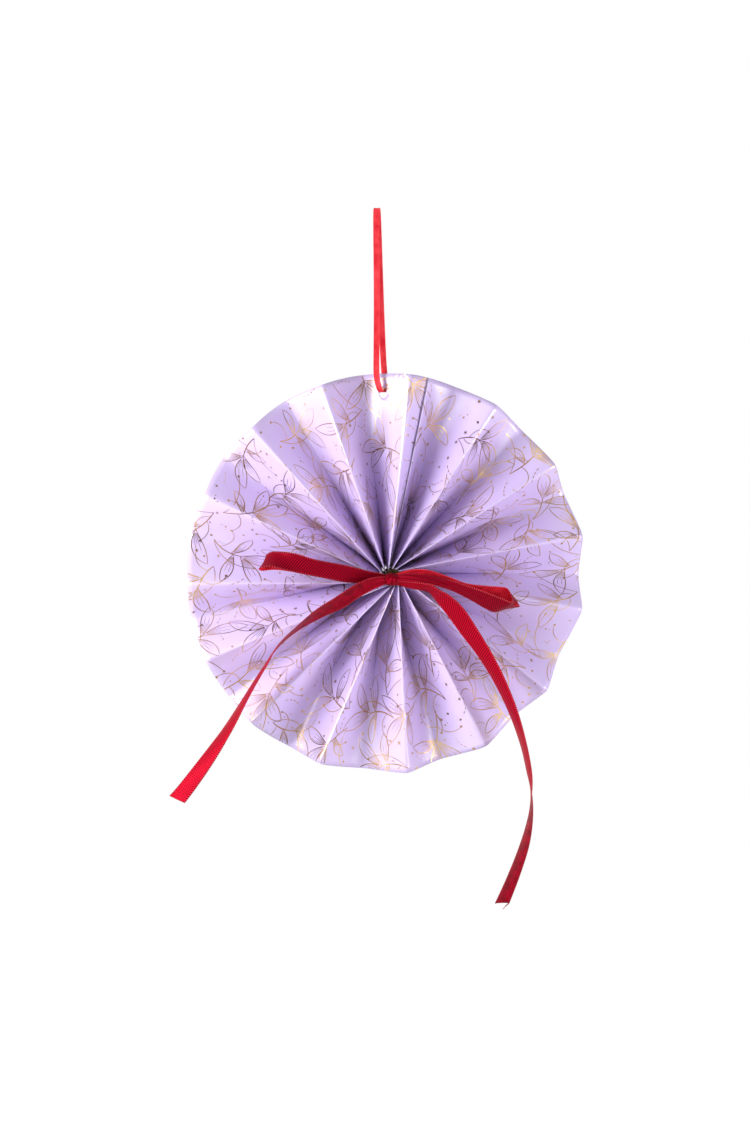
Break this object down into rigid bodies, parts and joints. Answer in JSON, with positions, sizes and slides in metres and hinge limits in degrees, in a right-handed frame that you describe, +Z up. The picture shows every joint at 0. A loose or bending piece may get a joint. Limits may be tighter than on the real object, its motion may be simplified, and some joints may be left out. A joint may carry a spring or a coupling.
{
  "type": "paper fan medallion",
  "caption": "Round hanging decoration: a pleated patterned-paper fan with a satin ribbon bow at its hub and a narrow ribbon loop at its rim.",
  "frame": {"origin": "the inside of the hanging ribbon's bight, where it rests on a pin", "axes": "+Z up, the printed front of the fan faces -Y, +X to the right as seen from the front"},
  "size_m": [0.2134, 0.0386, 0.3504],
  "materials": {
    "printed_paper": "pearl lavender paper with fine gold foil line drawing on the front, plain off-white back",
    "glue": "set hot-melt glue, olive brown",
    "bow_ribbon": "deep red satin ribbon with a twill back and stitched edges",
    "hanging_ribbon": "narrow red satin ribbon"
  },
  "bodies": {
    "root": {"paper_fan": "printed_paper", "hub_glue": "glue", "ribbon_bow": "bow_ribbon", "hanging_ribbon": "hanging_ribbon"}
  },
  "joints": []
}
